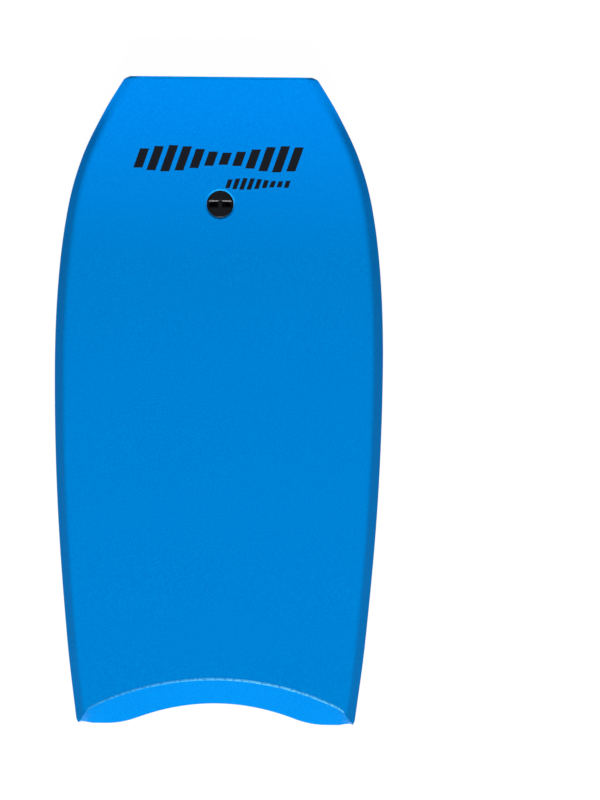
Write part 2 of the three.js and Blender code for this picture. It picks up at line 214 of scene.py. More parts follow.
LIGHT_CELL = (1, 1.15, 1.06)  # what a foam's colour is multiplied by in its light and dark cells
DARK_CELL = (1, 0.84, 0.93)
FOAM_SHEEN = (0.0, 0.5, 1.0, 1.0)
FOAM_ROUGHNESS = 0.6
# Rows of the deck's print: distance from the nose, left end, bars, pitch, bar width, lowest and highest
# half height, and the length of the wave that the heights follow.
PRINT_ROWS = (
    (0.1335, -0.142, 12, 0.0230, 0.0150, 0.0100, 0.0215, 0.184),
    (0.1745, 0.008, 9, 0.0120, 0.0076, 0.0050, 0.0095, 0.108),
)
PRINT_LEAN = 0.35
PRINT_EDGE = 0.0002
PRINT_BLACK = (0.010, 0.0105, 0.0135)
PRINT_THICKNESS = 0.00004
NOSE_LIGHT_FADE = (0.22, 0.52)  # where along the board the deck's blue turns into the nose's lighter blue, painted light on the kick
LIT_DIMPLE_GAP = 0.0006  # the ring of painted light starts this far outside the plug's flange
LIT_DIMPLE_LEAN = 0.45  # and fades towards the tail in a direction that leans this much
LIT_DIMPLE_FADE = (-0.004, 0.022)


# ---------------------------------------------------------------- the board's surfaces


def along(pairs, distance):
    """A smooth curve through a list of pairs, read at an array of distances."""
    at, value = np.array(pairs, float).T
    slope = np.gradient(value, at)
    slope[1:-1] = (value[2:] - value[:-2]) / (at[2:] - at[:-2])
    i = np.clip(np.searchsorted(at, distance), 1, len(at) - 1) - 1
    span = at[i + 1] - at[i]
    t = np.clip((distance - at[i]) / span, 0, 1)
    ease = t * t * (3 - 2 * t)
    leave = t * (1 - t) ** 2 * span * slope[i]
    arrive = t * t * (t - 1) * span * slope[i + 1]
    return value[i] * (1 - ease) + value[i + 1] * ease + leave + arrive


def corner_loss(radius, in_from_end):
    """What a round corner takes off the half width near an end."""
    left = np.clip(1 - in_from_end / radius, 0, 1)
    return radius * (1 - np.sqrt(1 - left * left))


def half_width(distance):
    """Half of the board's width at its widest line."""
    losses = corner_loss(NOSE_CORNER_RADIUS, distance) + corner_loss(TAIL_CORNER_RADIUS, LENGTH - distance)
    return along(HALF_WIDTH, distance) - losses


def slick_height(distance):
    """The nose kick: the slick rises in front of the kick's start."""
    return NOSE_RISE * np.maximum(1 - distance / KICK_LENGTH, 0) ** 2


def slick_crescent(x):
    """How far the tail's edge in the slick lies in front of the tips."""
    depth, to, flat_from = SLICK_ARCH["depth"], SLICK_ARCH["to"], SLICK_ARCH["flat_from"]
    radius = to * flat_from / (2 * depth)
    easing = (to / radius) * np.maximum(flat_from - x, 0) ** 2 / (2 * (flat_from - to))
    return np.where(x < to, depth - x * x / (2 * radius), easing)


def deck_crescent(x):
    """The same for its edge in the deck."""
    arc = np.sqrt(DECK_ARC["radius"] ** 2 - x * x) - (DECK_ARC["radius"] - DECK_ARC["depth"])
    corner = np.maximum((x - DECK_ARC["corner_from"]) / DECK_ARC["corner_run"], 0)
    return np.maximum(arc - DECK_ARC["corner_drop"] * corner**2, 0)


def tail_advance(x, height):
    """How far the tail's bevel lies in front of the tail's tips."""
    share = height / TAIL_THICKNESS
    return slick_crescent(np.abs(x)) * (1 - share) + deck_crescent(np.abs(x)) * share


def rail_sizes(distance):
    """The half width, the widest line's height, and the upper chine's run and rise."""
    rise = along(UPPER_CHINE_RISE, distance)
    return half_width(distance), along(THICKNESS, distance) - rise, along(UPPER_CHINE_RUN, distance), rise


def upper_rail(q, chine_run, rise):
    """Inwards and up from the widest line: q climbs the chine to 1, then rounds into the deck to 2."""
    straight = 1 - DECK_ROLL / np.hypot(chine_run, rise)
    t = np.clip(q - 1, 0, 1)
    before = (1 - t) ** 2
    run = before * straight * chine_run + 2 * t * (1 - t) * chine_run + t * t * (chine_run + DECK_ROLL)
    up = before * straight * rise + (1 - before) * rise
    climb = np.clip(q, 0, 1) * straight
    return np.where(q < 1, climb * chine_run, run), np.where(q < 1, climb * rise, up)


def spread(u, edge):
    """x on a flat that ends at edge. Columns inside the plug's block keep their x on every row."""
    beyond = BLOCK_HALF + (np.abs(u) - BLOCK_U) / (1 - BLOCK_U) * (edge - BLOCK_HALF)
    return np.where(np.abs(u) <= BLOCK_U, u / BLOCK_U * BLOCK_HALF, np.sign(u) * beyond)


def deck_line(u, distance):
    """x and height over the slick. Past 1 from the middle u rounds the roll, and past 2 it runs down
    the chine to the widest line at 3."""
    wide, widest, chine_run, rise = rail_sizes(distance)
    run, up = upper_rail(3 - np.abs(u), chine_run, rise)
    flat = np.abs(u) < 1
    x = np.where(flat, spread(u, wide - chine_run - DECK_ROLL), np.sign(u) * (wide - run))
    return x, widest + np.where(flat, rise, up)


def slick_line(u, distance):
    """The same for the slick. Past 1 from the middle u climbs the lower chine to the widest line at 2."""
    wide, widest, _, _ = rail_sizes(distance)
    run = along(LOWER_CHINE_RUN, distance)
    share = np.clip(np.abs(u) - 1, 0, 1)
    x = np.where(share > 0, np.sign(u) * (wide - run * (1 - share)), spread(u, wide - run))
    return x, widest * share


def on_line(u, number):
    """Whether columns lie on one line: 1 is a flat's edge, and 2 on the slick and 3 on the deck are the
    widest line."""
    return np.abs(np.abs(u) - number) < NEAR


def unit(x, z):
    long = np.hypot(x, z)
    return np.stack([x / long, z / long])


def mitre(first, first_thickness, second, second_thickness):
    """From an outer corner to the corner inside it, where skins of two thicknesses meet."""
    turn = (first * second).sum(0)
    scale = 1 - turn**2
    a = (first_thickness - second_thickness * turn) / scale
    b = (second_thickness - first_thickness * turn) / scale
    return first * a + second * b


def right_corners(distance):
    """On the right side: the mitres behind the widest line and behind the slick's edge."""
    _, widest, chine_run, rise = rail_sizes(distance)
    upper = unit(-rise, -chine_run)
    lower = unit(-widest, along(LOWER_CHINE_RUN, distance))
    flat = unit(0 * rise, 1 + 0 * rise)
    return mitre(upper, SKIN, lower, SKIN), mitre(lower, SKIN, flat, SLICK_STACK)


def inward(line, u, distance, thickness):
    """The way in from a line, square to it, as long as the skin is thick."""
    x0, z0 = line(u - NEAR, distance)
    x1, z1 = line(u + NEAR, distance)
    facing = 1 if line is deck_line else -1
    return facing * thickness * unit(z1 - z0, x0 - x1)


def layer(line, u, distance, depth):
    """x and height of a skin's face: depth 0 is the outside and 1 is the face on the core."""
    x, z = line(u, distance)
    widest, slick_edge = right_corners(distance)
    side = np.sign(u)
    mirror = np.stack([side, np.ones_like(side)])
    if line is deck_line:
        inset = np.where(on_line(u, 3), widest * mirror, inward(line, u, distance, SKIN))
    else:
        inset = inward(line, u, distance, np.where(np.abs(u) < 1, SLICK_STACK, SKIN))
        inset = np.where(on_line(u, 1), slick_edge * mirror, inset)
        inset = np.where(on_line(u, 2), widest * mirror, inset)
    return x + depth * inset[0], z + depth * inset[1]


def in_frame(x, distance, height):
    """Points in the CAD's frame from x, distance from the nose and height over the slick."""
    return np.stack([x, LENGTH / 2 - distance, slick_height(distance) + height], 1)


def lay(line, u, station, depth=0.0, run=TAIL_SKIN_RUN + GAP):
    """Points of a skin's face. The last station's row lies on the tail's bevel, moved in by run."""
    t = np.clip((station - TAIL_REACH) / (LENGTH - TAIL_REACH), 0, 1)
    fade = t * t * (3 - 2 * t)
    distance = np.array(station, float)
    for _ in range(SHEET_ROUNDS):
        x, z = layer(line, u, distance, depth)
        distance = station - fade * (tail_advance(x, z) + run)
    x, z = layer(line, u, distance, depth)
    return in_frame(x, distance, z)


def lay_end(across, r, distance_at):
    """Points of a plate that closes an end. r climbs from the slick to the widest line at 1 and the
    deck at 3. distance_at gives the plate's distance from the nose for x and height."""
    distance = distance_at(0 * across, 0 * across)
    for _ in range(PLATE_ROUNDS):
        wide, widest, chine_run, rise = rail_sizes(distance)
        low = along(LOWER_CHINE_RUN, distance) * (1 - r)
        run, up = upper_rail(np.clip(r - 1, 0, 2), chine_run, rise)
        x = across * (wide - np.where(r < 1, low, run))
        z = np.where(r < 1, widest * r, widest + up)
        distance = distance_at(x, z)
    return in_frame(x, distance, z)


# ---------------------------------------------------------------- patterns and meshes


def steps(*stops):
    """Values from each stop to the next: (start, end, count) triples that follow on."""
    values = [stops[0][0]]
    for start, end, count in stops:
        values += list(np.linspace(start, end, count + 1)[1:])
    return np.array(values)


def mirrored(values):
    """Values from the middle outwards, with the same ones on the other side in front of them."""
    return np.concatenate([-values[::-1], values[1:] if values[0] == 0 else values])


HALF_BLOCK = (0, BLOCK_U, BLOCK_CELLS // 2)
FLAT_COLUMNS = mirrored(steps(HALF_BLOCK, (BLOCK_U, TRIM_COLUMN, 14), (TRIM_COLUMN, 1, 1)))
DECK_COLUMNS = mirrored(steps(HALF_BLOCK, (BLOCK_U, 1, 14), (1, 2, 7), (2, 3, 4)))
RAIL_COLUMNS = steps((1, 2, 5))
END_COLUMNS = np.linspace(-1, 1, 73)
END_ROWS = steps((0, 1, 4), (1, 2, 5), (2, 2.9, 8), (2.9, 3, 2))
BLOCK_FROM = PLUG_FROM_NOSE - BLOCK_HALF
BLOCK_TO = PLUG_FROM_NOSE + BLOCK_HALF
STATIONS = steps(
    (NOSE_SKIN + GAP, NOSE_CORNER_RADIUS, 3),
    (NOSE_CORNER_RADIUS, BLOCK_FROM, 16),
    (BLOCK_FROM, BLOCK_TO, BLOCK_CELLS),
    (BLOCK_TO, TAIL_REACH, 44),
    (TAIL_REACH, LENGTH - TAIL_CORNER_RADIUS, 24),
    (LENGTH - TAIL_CORNER_RADIUS, LENGTH - END_STRIP, 6),
    (LENGTH - END_STRIP, LENGTH, 1),
)


def grid(columns, rows):
    """A pattern of all the columns and rows."""
    u, v = np.meshgrid(columns, rows)
    wide = len(columns)
    corner = np.arange(wide * (len(rows) - 1)).reshape(-1, wide)[:, :-1].ravel()
    faces = np.stack([corner, corner + 1, corner + 1 + wide, corner + wide], 1)
    return np.stack([u.ravel(), v.ravel()], 1), faces


def with_hole(pattern, radius, shift=0.0):
    """Swaps the plug's block for rings that run from its edge in to a round hole. The hole's middle
    lies nearer the tail than the plug by shift."""
    points, faces = pattern
    from_plug = np.stack([points[:, 0] / BLOCK_U * BLOCK_HALF, points[:, 1] - PLUG_FROM_NOSE], 1)
    reach = np.abs(from_plug).max(1)
    in_block = np.abs(from_plug[faces].mean(1)).max(1) < BLOCK_HALF
    kept_faces = faces[~in_block]
    rim = np.flatnonzero(np.abs(reach - BLOCK_HALF) < TINY)
    rim = rim[np.argsort(np.arctan2(from_plug[rim, 1], from_plug[rim, 0]))]
    square = from_plug[rim]
    start = math.atan2(square[0, 1], square[0, 0])
    angle = start + np.arange(len(rim)) * 2 * math.pi / len(rim)
    circle = np.stack([np.cos(angle), np.sin(angle)], 1)
    rings = [circle * (radius + out) for out in HOLE_RINGS[::-1] if radius + out < BLOCK_ROUND_FROM]
    half_round = (1 - RING_SHARE) * square + RING_SHARE * circle * BLOCK_ROUND_FROM
    before = rim
    for ring in (half_round, *rings):
        station = ring[:, 1] + shift + PLUG_FROM_NOSE
        now = len(points) + np.arange(len(rim))
        points = np.concatenate([points, np.stack([ring[:, 0] / BLOCK_HALF * BLOCK_U, station], 1)])
        added = np.stack([before, now, np.roll(now, -1), np.roll(before, -1)], 1)
        kept_faces = np.concatenate([kept_faces, added])
        before = now
    used = np.unique(kept_faces)
    place = np.zeros(len(points), int)
    place[used] = np.arange(len(used))
    return points[used], place[kept_faces]


def sheet_piece(name, faces, outside, inside, material, round_outside, round_inside=BACK_EDGE):
    """A closed piece between two layers of the same pattern. Its outer edge is rounded by one width, or
    by a width for each point."""
    count = len(outside)
    directed = np.concatenate([faces[:, [k, (k + 1) % 4]] for k in range(4)])
    keys = np.sort(directed, 1) @ np.array([count, 1])
    _, first, times = np.unique(keys, return_index=True, return_counts=True)
    rim = directed[first[times == 1]]
    walls = np.stack([rim[:, 1], rim[:, 0], rim[:, 0] + count, rim[:, 1] + count], 1)
    everything = np.concatenate([faces, faces[:, ::-1] + count, walls])
    mesh = bpy.data.meshes.new(name)
    mesh.from_pydata(np.concatenate([outside, inside]).tolist(), [], everything.tolist())
    mesh.update()
    face_outwards(mesh)
    ends = np.zeros(len(mesh.edges) * 2, int)
    mesh.edges.foreach_get("vertices", ends)
    ends = np.sort(ends.reshape(-1, 2), 1)
    both_rims = np.sort(np.concatenate([rim, rim + count]), 1)
    on_rim = np.isin(ends @ np.array([2 * count, 1]), both_rims @ np.array([2 * count, 1]))
    rounding = np.concatenate([np.broadcast_to(round_outside, count), np.full(count, round_inside)])
    weights = np.where(on_rim, rounding[ends].min(1) / rounding.max(), 0)
    mesh.attributes.new("bevel_weight_edge", "FLOAT", "EDGE").data.foreach_set("value", weights)
    mesh.materials.append(material)
    smooth(mesh)
    piece = bpy.data.objects.new(name, mesh)
    bpy.context.scene.collection.objects.link(piece)
    soften(piece, float(rounding.max()), "WEIGHT")
    return piece


def smooth(mesh):
    for face in mesh.polygons:
        face.use_smooth = True


def face_outwards(mesh):
    made_of = bmesh.new()
    made_of.from_mesh(mesh)
    bmesh.ops.recalc_face_normals(made_of, faces=made_of.faces)
    made_of.to_mesh(mesh)
    made_of.free()


def soften(piece, width, limit="ANGLE", segments=3, least_turn=32):
    """Rounds the edges with a bevel weight, or the ones that turn by more than least_turn degrees."""
    bevel = piece.modifiers.new("soft_edges", "BEVEL")
    bevel.width = width
    bevel.segments = segments
    bevel.limit_method = limit
    bevel.angle_limit = math.radians(least_turn)
    bevel.harden_normals = True
    bevel.use_clamp_overlap = True


# ---------------------------------------------------------------- materials


class Shader:
    """A material's node tree, with its Principled shader and the board's own coordinates in metres."""

    def __init__(self, name, roughness, **constants):
        self.material = bpy.data.materials.new(name)
        self.material.use_nodes = True
        self.nodes = self.material.node_tree.nodes
        self.links = self.material.node_tree.links
        self.surface = self.nodes["Principled BSDF"]
        self.surface.inputs["Roughness"].default_value = roughness
        for socket, value in constants.items():
            self.surface.inputs[socket.replace("_", " ")].default_value = value
        self.place = self.nodes.new("ShaderNodeTexCoord").outputs["Object"]

    def put(self, socket, value):
        """Links an output to a socket, or sets the socket to a number."""
        if isinstance(value, bpy.types.NodeSocket):
            self.links.new(value, socket)
        elif value is not None:
            socket.default_value = value

    def math(self, operation, a, b=None, c=None):
        node = self.nodes.new("ShaderNodeMath")
        node.operation = operation
        for socket, value in zip(node.inputs, (a, b, c)):
            self.put(socket, value)
        return node.outputs[0]

    def axis(self, name):
        node = self.nodes.new("ShaderNodeSeparateXYZ")
        self.put(node.inputs[0], self.place)
        return node.outputs[name]

    def stretched(self, share):
        """Coordinates with only a share of the board's length, which draw noise out along it."""
        node = self.nodes.new("ShaderNodeMapping")
        self.put(node.inputs["Vector"], self.place)
        node.inputs["Scale"].default_value = (1, share, 1)
        return node.outputs["Vector"]

    def noise(self, scale, detail=2.0, roughness=0.5, place=None):
        """Noise of about scale waves per metre."""
        node = self.nodes.new("ShaderNodeTexNoise")
        self.put(node.inputs["Vector"], place or self.place)
        self.put(node.inputs["Scale"], scale)
        self.put(node.inputs["Detail"], detail)
        self.put(node.inputs["Roughness"], roughness)
        return node.outputs["Fac"]

    def cells(self, scale):
        """The distance to the middle of each of about scale cells per metre."""
        node = self.nodes.new("ShaderNodeTexVoronoi")
        self.put(node.inputs["Vector"], self.place)
        self.put(node.inputs["Scale"], scale)
        return node.outputs["Distance"]

    def remap(self, value, low, high, to_low=0.0, to_high=1.0):
        node = self.nodes.new("ShaderNodeMapRange")
        node.interpolation_type = "SMOOTHSTEP"
        for socket, number in zip(node.inputs, (value, low, high, to_low, to_high)):
            self.put(socket, number)
        return node.outputs[0]

    def blend(self, share, first, second):
        """A colour between two, each an output or a red, green and blue."""
        node = self.nodes.new("ShaderNodeMix")
        node.data_type = "RGBA"
        self.put(node.inputs[0], share)
        for socket, value in ((node.inputs[6], first), (node.inputs[7], second)):
            self.put(socket, value if isinstance(value, bpy.types.NodeSocket) else (*value, 1))
        return node.outputs[2]

    def colour(self, value):
        self.put(self.surface.inputs["Base Color"], value)

    def bumps(self, *layers):
        """Chains (height, distance in metres) bumps into the surface's normal."""
        normal = None
        for height, distance in layers:
            node = self.nodes.new("ShaderNodeBump")
            node.inputs["Distance"].default_value = distance
            self.put(node.inputs["Height"], height)
            self.put(node.inputs["Normal"], normal)
            normal = node.outputs["Normal"]
        self.put(self.surface.inputs["Normal"], normal)


def foam_shader(name):
    return Shader(name, FOAM_ROUGHNESS, Specular_IOR_Level=0.06, Specular_Tint=FOAM_SHEEN)


def foam_colour(shader, colour):
    """Light and dark cells on a colour, and slow changes of tone over the sheet."""
    light = tuple(part * change for part, change in zip(colour, LIGHT_CELL))
    dark = tuple(part * change for part, change in zip(colour, DARK_CELL))
    cells = shader.remap(shader.noise(360, detail=6, roughness=0.72), 0.34, 0.66)
    fine = shader.blend(cells, dark, light)
    slow = shader.remap(shader.noise(9, 2), 0.3, 0.7, 0, 0.3)
    return shader.blend(slow, fine, colour)


def foam_bumps(shader, *more):
    """A wavy sheet with a fine open grain, and more (height, distance) bumps on it."""
    shader.bumps(
        (shader.noise(5, 1), 0.0012),
        (shader.noise(700, 3), 0.00011),
        (shader.cells(900), 0.00005),
        *more,
    )


def bar_print(shader):
    """How much ink lies on the deck: rows of plain leaning bars whose heights follow a wave."""
    from_nose = shader.math("SUBTRACT", LENGTH / 2, shader.axis("Y"))

    def within(value, limit):
        return shader.remap(shader.math("SUBTRACT", value, limit), -PRINT_EDGE, PRINT_EDGE, 1, 0)

    inks = []
    for centre, left, count, pitch, bar, low, high, wave in PRINT_ROWS:
        off_row = shader.math("SUBTRACT", from_nose, centre)
        leaning = shader.math("MULTIPLY_ADD", off_row, PRINT_LEAN, shader.axis("X"))
        along_row = shader.math("DIVIDE", shader.math("SUBTRACT", leaning, left), pitch)
        bar_number = shader.math("FLOOR", along_row)
        in_bar = shader.math("SUBTRACT", shader.math("SUBTRACT", along_row, bar_number), 0.5)
        off_bar = shader.math("MULTIPLY", shader.math("ABSOLUTE", in_bar), pitch)
        off_middle = shader.math("ABSOLUTE", shader.math("SUBTRACT", along_row, count / 2))
        off_middle = shader.math("MULTIPLY", off_middle, pitch)
        phase = shader.math("MULTIPLY", bar_number, 2 * math.pi * pitch / wave)
        swing = shader.math("SINE", phase)
        height = shader.math("MULTIPLY_ADD", swing, (high - low) / 2, (high + low) / 2)
        ink = within(shader.math("ABSOLUTE", off_row), height)
        ink = shader.math("MULTIPLY", ink, within(off_bar, bar / 2))
        ink = shader.math("MULTIPLY", ink, within(off_middle, count * pitch / 2))
        inks.append(ink)
    return shader.math("MAXIMUM", *inks)


def lit_dimple_share(shader):
    """1 round the nose side of the plug's flange, fading to 0 outwards and towards the tail side: the share
    of painted light on the dimple's slope that faces the key.
    """
    x = shader.axis("X")
    y = shader.math("SUBTRACT", shader.axis("Y"), LENGTH / 2 - PLUG_FROM_NOSE)
    square = shader.math("ADD", shader.math("MULTIPLY", x, x), shader.math("MULTIPLY", y, y))
    from_plug = shader.math("SQRT", square)
    leaning = shader.math("MULTIPLY_ADD", x, LIT_DIMPLE_LEAN, y)
    nose_side = shader.remap(leaning, *LIT_DIMPLE_FADE, 0, 1)
    edge = HEAD_RADIUS + LIT_DIMPLE_GAP
    return shader.math("MULTIPLY", nose_side, shader.remap(from_plug, edge, edge + DIMPLE_RUN, 1, 0))


def deck_foam():
    """The deck's foam: bluer at the nose and pale on the nose side of the plug's dimple, both painted light
    where the foam faces the key, and printed.
    """
    shader = foam_shader("deck_foam")
    nose_painted_light = shader.remap(shader.axis("Y"), *NOSE_LIGHT_FADE)
    colour = foam_colour(shader, DECK_BLUE)
    # painted light: the kick's foam made lighter towards the nose, where it faces the key
    colour = shader.blend(nose_painted_light, colour, foam_colour(shader, NOSE_LIT_BLUE))
    # painted light on the dimple's slope that faces the key
    colour = shader.blend(lit_dimple_share(shader), colour, LIT_DIMPLE_BLUE)
    ink = bar_print(shader)
    shader.colour(shader.blend(ink, colour, PRINT_BLACK))
    foam_bumps(shader, (ink, PRINT_THICKNESS))
    return shader.material


def plain_foam(name, blue):
    """Foam of one colour, for the rail strips and the nose."""
    shader = foam_shader(name)
    shader.colour(foam_colour(shader, blue))
    foam_bumps(shader)
    return shader.material


def tail_foam():
    """The tail's foam, with a painted highlight where the bevel turns over into the deck, most on the right.
    """
    shader = foam_shader("tail_foam")
    rim = shader.nodes.new("ShaderNodeAttribute")
    rim.attribute_name = "rim"
    line = shader.remap(rim.outputs["Fac"], 0.1, 0.8)
    strength = shader.remap(shader.axis("X"), -0.20, 0.12, 0.35, 1)
    highlight_dashes = shader.remap(shader.noise(240, 3), 0.38, 0.52, 0.3, 1)
    line = shader.math("MULTIPLY", line, shader.math("MULTIPLY", strength, highlight_dashes))
    # painted highlight: a pale line along the bevel's upper edge, broken into dashes
    shader.colour(shader.blend(line, foam_colour(shader, TAIL_BLUE), RIM_HIGHLIGHT_BLUE))
    foam_bumps(shader)
    return shader.material


def backing_foam():
    shader = Shader("backing_foam", FOAM_ROUGHNESS, Specular_IOR_Level=0.3)
    cells = shader.remap(shader.noise(500, 3), 0.3, 0.7)
    shader.colour(shader.blend(cells, *BACKING_BLUES))
    foam_bumps(shader)
    return shader.material


def slick_plastic():
    """Hard white plastic, with glossier streaks along it near the tail whose lighter colour is a painted
    sheen.
    """
    shader = Shader("slick_plastic", 0.3, Specular_IOR_Level=0.5, IOR=1.53)
    slow = shader.remap(shader.noise(7, 3), 0.3, 0.7)
    base = shader.blend(slow, *SLICK_WHITES)
    tail = shader.remap(shader.axis("Y"), -0.25, -0.5)
    drawn_out = shader.noise(60, detail=4, roughness=0.6, place=shader.stretched(0.05))
    streak = shader.math("MULTIPLY", shader.remap(drawn_out, 0.5, 0.75), tail)
    # painted sheen: the glossier streaks are also made lighter in colour
    shader.colour(shader.blend(shader.math("MULTIPLY", streak, 0.6), base, STREAK_SHEEN_WHITE))
    rough = shader.math("MULTIPLY_ADD", streak, -0.12, 0.32)
    shader.put(shader.surface.inputs["Roughness"], rough)
    shader.bumps(
        (shader.noise(14, place=shader.stretched(0.25)), 0.0008),
        (shader.noise(900), 0.00002),
        (shader.noise(420, detail=3, roughness=0.6, place=shader.stretched(0.02)), 0.00003),
    )
    return shader.material


def plug_plastic():
    shader = Shader("plug_plastic", 0.33, Specular_IOR_Level=0.22)
    grain = shader.remap(shader.noise(1500, 2), 0.3, 0.7)
    shader.colour(shader.blend(grain, *PLUG_BLACKS))
    rough = shader.remap(shader.noise(240, 3), 0.3, 0.7, 0.30, 0.36)
    shader.put(shader.surface.inputs["Roughness"], rough)
    shader.bumps((shader.noise(1800, 2), 0.000004))
    return shader.material


def core_beads():
    shader = Shader("core_beads", 0.75, Specular_IOR_Level=0.3)
    beads = shader.cells(260)
    # painted shade: each bead darker towards its edge, in the seams that the bump sinks
    shader.colour(shader.blend(shader.remap(beads, 0.2, 0.9), *BEAD_AND_SEAM_SHADE_WHITES))
    shader.bumps((beads, -0.0004), (shader.noise(900, 2), 0.00005))
    return shader.material


# ---------------------------------------------------------------- the pieces


BOARD_AT_PLUG = float(along(THICKNESS, np.array([PLUG_FROM_NOSE]))[0])
NUT_FACE = 2 * PLUG_SINK - BOARD_AT_PLUG
NUT_SHIFT = -BOARD_AT_PLUG * math.sin(PLUG_TILT)  # the plug leans, so the nut lies nearer the nose
SLICK_SHARE = SLICK_SHEET / SLICK_STACK


def finished(piece, node):
    """What every piece needs: its body, and the CAD node that it stands for hidden."""
    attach(piece, "root")
    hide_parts(node)


def dimple(points, u, station):
    """Draws the deck's face down round the plug's flange."""
    x = u / BLOCK_U * BLOCK_HALF
    off = np.hypot(x, station - PLUG_FROM_NOSE) - (HEAD_RADIUS + GAP)
    t = np.clip(1 - off / DIMPLE_RUN, 0, 1)
    points[:, 2] -= np.where(np.abs(u) <= BLOCK_U, DIMPLE_DEPTH * t * t * (3 - 2 * t), 0)
    return points


def deck_sheet():
    """The deck's foam from one widest line over the chines, rolls and flat to the other."""
    points, faces = with_hole(grid(DECK_COLUMNS, STATIONS), HEAD_RADIUS + GAP)
    u, station = points.T
    run = TAIL_SKIN_RUN + SEAM
    outside = dimple(lay(deck_line, u, station, 0.0, run), u, station)
    inside = lay(deck_line, u, station, 1.0, run)
    rounding = np.where(on_line(u, 3), FOAM_EDGE, CUT_EDGE)
    piece = sheet_piece("deck_sheet", faces, outside, inside, deck_foam(), rounding, CUT_EDGE)
    finished(piece, "deck_skin")


def bottom_layers(depths, trim, hole_radius, hole_shift):
    """A sheet under the board between two depths: its faces, its edge points and both layers of points.
    trim gives how far the long edges are cut back at each station."""
    points, faces = with_hole(grid(FLAT_COLUMNS, STATIONS), hole_radius, hole_shift)
    u, station = points.T
    edge = on_line(u, 1)
    layers = []
    for depth in depths:
        placed = lay(slick_line, u, station, depth)
        placed[edge, 0] -= np.sign(u[edge]) * trim(station[edge])
        layers.append(placed)
    return faces, edge, layers


def slick_sheet():
    """The slick, cut back along a ragged line so that the backing shows past it."""

    def ragged(station):
        waves = (size * np.sin(station * turns + start) for size, turns, start in SLICK_WAVES)
        return SLICK_TRIM + sum(waves)

    hole = NUT_RADIUS + SLICK_HOLE_GAP
    faces, _, layers = bottom_layers((0.0, SLICK_SHARE), ragged, hole, NUT_SHIFT + SLICK_HOLE_SHIFT)
    piece = sheet_piece("slick_sheet", faces, *layers, slick_plastic(), SLICK_EDGE, CUT_EDGE)
    finished(piece, "slick_skin")


def backing_sheet():
    """The foam that the slick is laminated to. Its edges swell down beside the slick's."""
    hole = NUT_RADIUS + GAP
    faces, edge, layers = bottom_layers((SLICK_SHARE, 1.0), lambda station: BACKING_TRIM, hole, NUT_SHIFT)
    outside, inside = layers
    outside[:, 2] += GAP * 0.5
    outside[edge, 2] -= BACKING_BULGE
    piece = sheet_piece("backing_sheet", faces, outside, inside, backing_foam(), SLICK_EDGE, CUT_EDGE)
    finished(piece, "slick_backing")


def rail_strips():
    """The foam on the two lower chines."""
    material = plain_foam("rail_foam", RAIL_BLUE)
    for side, name in ((-1, "left"), (1, "right")):
        points, faces = grid(side * RAIL_COLUMNS, STATIONS)
        u, station = points.T
        outside = lay(slick_line, u, station, 0.0)
        inside = lay(slick_line, u, station, 1.0)
        top = on_line(u, 2)
        for face in (outside, inside):
            face[top, 2] -= RAIL_TOP_GAP
        piece = sheet_piece(f"{name}_rail_strip", faces, outside, inside, material, FOAM_EDGE)
        finished(piece, f"{name}_rail_skin")


def tail_sheet():
    """The bevel's foam. Its attribute rim climbs to 1 along the outside's upper edge, where the tail's foam
    paints a highlight.
    """
    points, faces = grid(END_COLUMNS, END_ROWS)
    across, r = points.T
    outside = lay_end(across, r, lambda x, height: LENGTH - tail_advance(x, height))
    inside = lay_end(across, r, lambda x, height: LENGTH - tail_advance(x, height) - TAIL_SKIN_RUN)
    piece = sheet_piece("tail_sheet", faces, outside, inside, tail_foam(), TAIL_EDGE)
    below = np.where(r > 2, 4 * (3 - r) ** 2, 1)
    rim = np.concatenate([np.clip(1 - below, 0, 1), np.zeros(len(r))])
    piece.data.attributes.new("rim", "FLOAT", "POINT").data.foreach_set("value", rim)
    finished(piece, "tail_skin")


def nose_strip():
    """The upright strip of foam that closes the nose."""
    points, faces = grid(END_COLUMNS, END_ROWS)
    across, r = points.T
    outside = lay_end(across, r, lambda x, height: 0 * x)
    inside = lay_end(across, r, lambda x, height: 0 * x + NOSE_SKIN)
    foam = plain_foam("end_foam", DECK_BLUE)
    piece = sheet_piece("nose_strip", faces, outside, inside, foam, NOSE_EDGE)
    finished(piece, "nose_skin")


def solid(name, made_of):
    """An object from a closed bmesh, with its faces turned outwards."""
    mesh = bpy.data.meshes.new(name)
    bmesh.ops.recalc_face_normals(made_of, faces=made_of.faces)
    made_of.to_mesh(mesh)
    made_of.free()
    return bpy.data.objects.new(name, mesh)


def turned(name, profile, segments=96):
    """A solid of revolution about Z from its profile's radius and height pairs."""
    made_of = bmesh.new()
    angles = [2 * math.pi * k / segments for k in range(segments)]
    rings = []
    for radius, height in profile:
        if radius == 0:
            rings.append([made_of.verts.new((0, 0, height))])
            continue
        spots = [(radius * math.cos(angle), radius * math.sin(angle), height) for angle in angles]
        rings.append([made_of.verts.new(spot) for spot in spots])
    for low, high in zip(rings, rings[1:]):
        for k in range(segments):
            corners = [
                low[k % len(low)], low[(k + 1) % len(low)],
                high[(k + 1) % len(high)], high[k % len(high)],
            ]
            made_of.faces.new(list(dict.fromkeys(corners)))
    return solid(name, made_of)


def pushed(name, outline, axis, length):
    """An outline of (across, height) points pushed to both sides along X or Y."""
    made_of = bmesh.new()
    ends = []
    for end in (-length / 2, length / 2):
        spots = [(end, a, h) if axis == "X" else (a, end, h) for a, h in outline]
        ends.append([made_of.verts.new(spot) for spot in spots])
    near, far = ends
    made_of.faces.new(near)
    made_of.faces.new(far[::-1])
    for k in range(len(outline)):
        after = (k + 1) % len(outline)
        made_of.faces.new([near[k], near[after], far[after], far[k]])
    return solid(name, made_of)


